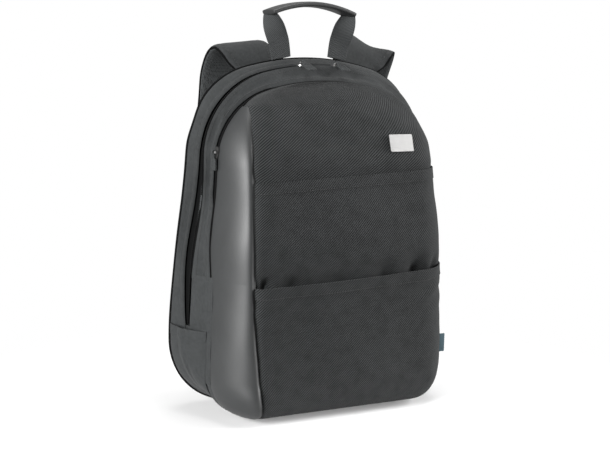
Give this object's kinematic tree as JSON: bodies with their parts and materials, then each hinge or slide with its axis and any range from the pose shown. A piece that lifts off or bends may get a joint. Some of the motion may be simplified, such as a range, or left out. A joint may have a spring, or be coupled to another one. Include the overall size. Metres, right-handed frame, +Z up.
{
  "type": "school backpack",
  "caption": "Laptop-type school backpack with arched main and front zips, slip pockets, side pockets, carry loop and padded shoulder straps.",
  "frame": {"origin": "on the floor under the middle of the bag, in the plane of its base panel", "axes": "+X to the viewer's right seen from the front, +Y towards the wearer's back, +Z up"},
  "size_m": [0.336, 0.1957, 0.4719],
  "materials": {
    "shell": "matte woven charcoal",
    "twill": "diagonal weave, charcoal",
    "leather": "semi-gloss, fine grain, black",
    "mesh": "padded air mesh, black",
    "lining": "smooth lining, dark grey",
    "webbing": "ribbed webbing, black",
    "zip_tape": "woven tape, black",
    "pull": "coated fabric, black",
    "metal": "satin nickel",
    "buckle": "moulded, black",
    "tab": "folded woven tab, dark teal"
  },
  "bodies": {
    "pack": {"back_panel": "shell", "back_pad_left": "mesh", "back_pad_right": "mesh", "lumbar_pad": "mesh", "rear_gusset": "shell", "base_panel": "shell", "side_pocket_left": "shell", "side_pocket_right": "shell", "zip_end_tabs": "shell", "laptop_sleeve": "lining", "sleeve_strap": "lining", "main_zip_rear_tape": "zip_tape", "front_gusset_lower": "shell", "divider_panel_lower": "lining", "front_panel_lower": "twill", "leather_panel_lower": "leather", "lower_pocket": "twill", "side_tab": "tab", "strap_yoke": "shell", "strap_wing_left": "shell", "strap_wing_right": "shell"},
    "front_half": {"front_gusset": "shell", "divider_panel": "lining", "main_zip_front_tape": "zip_tape", "front_zip_rear_tape": "zip_tape"},
    "front_flap": {"front_panel": "twill", "leather_panel": "leather", "upper_pocket": "twill", "metal_plate": "metal", "front_zip_front_tape": "zip_tape"},
    "main_slider_left_body": {"main_slider_left": "metal"},
    "main_slider_right_body": {"main_slider_right": "metal"},
    "main_pull_left_body": {"main_pull_left": "pull"},
    "main_pull_right_body": {"main_pull_right": "pull"},
    "front_slider_body": {"front_slider": "metal"},
    "front_pull_body": {"front_pull": "pull"},
    "carry_loop": {"handle_webbing": "webbing", "handle_grip": "leather"},
    "strap_left": {"shoulder_strap_left": "mesh", "strap_webbing_left": "webbing", "ladder_lock_left": "buckle", "lock_loop_left": "webbing"},
    "strap_right": {"shoulder_strap_right": "mesh", "strap_webbing_right": "webbing", "ladder_lock_right": "buckle", "lock_loop_right": "webbing"}
  },
  "joints": [
    {"name": "main_zip_open", "type": "hinge", "parent": "pack", "child": "front_half", "pos_m": [0, -0.0635, 0.16], "axis": [1, 0, 0], "range_deg": [0, 25]},
    {"name": "front_zip_open", "type": "hinge", "parent": "front_half", "child": "front_flap", "pos_m": [0, -0.0635, 0.16], "axis": [1, 0, 0], "range_deg": [0, 25]},
    {"name": "main_slider_left_run", "type": "hinge", "parent": "front_half", "child": "main_slider_left_body", "pos_m": [0, 0.027, 0.106], "axis": [0, 1, 0], "range_deg": [-6.2, 3]},
    {"name": "main_slider_right_run", "type": "hinge", "parent": "front_half", "child": "main_slider_right_body", "pos_m": [0, 0.027, 0.106], "axis": [0, 1, 0], "range_deg": [-3, 4.4]},
    {"name": "main_pull_left_swing", "type": "hinge", "parent": "main_slider_left_body", "child": "main_pull_left_body", "pos_m": [-0.01849, 0.027, 0.39982], "axis": [0.998, 0, 0.0628], "range_deg": [-120, 0]},
    {"name": "main_pull_right_swing", "type": "hinge", "parent": "main_slider_right_body", "child": "main_pull_right_body", "pos_m": [0.02771, 0.027, 0.39909], "axis": [0.9956, 0, -0.0941], "range_deg": [-120, 0]},
    {"name": "front_slider_run", "type": "hinge", "parent": "front_half", "child": "front_slider_body", "pos_m": [-0.05, 0.006, 0.28608], "axis": [0, 1, 0], "range_deg": [-6, 60]},
    {"name": "front_pull_swing", "type": "hinge", "parent": "front_slider_body", "child": "front_pull_body", "pos_m": [-0.13929, 0.006, 0.30022], "axis": [0, 1, 0], "range_deg": [0, 140]},
    {"name": "carry_loop_tip", "type": "hinge", "parent": "pack", "child": "carry_loop", "pos_m": [0, 0.045, 0.40176], "axis": [1, 0, 0], "range_deg": [-5, 75], "stiffness_Nm_per_rad": 0.08},
    {"name": "strap_left_swing", "type": "hinge", "parent": "pack", "child": "strap_left", "pos_m": [-0.138, 0.0742, 0.05], "axis": [0.2353, -0.0332, 0.9714], "range_deg": [-10, 10], "stiffness_Nm_per_rad": 0.6},
    {"name": "strap_right_swing", "type": "hinge", "parent": "pack", "child": "strap_right", "pos_m": [0.138, 0.0742, 0.05], "axis": [-0.2353, -0.0332, 0.9714], "range_deg": [-10, 10], "stiffness_Nm_per_rad": 0.6}
  ]
}
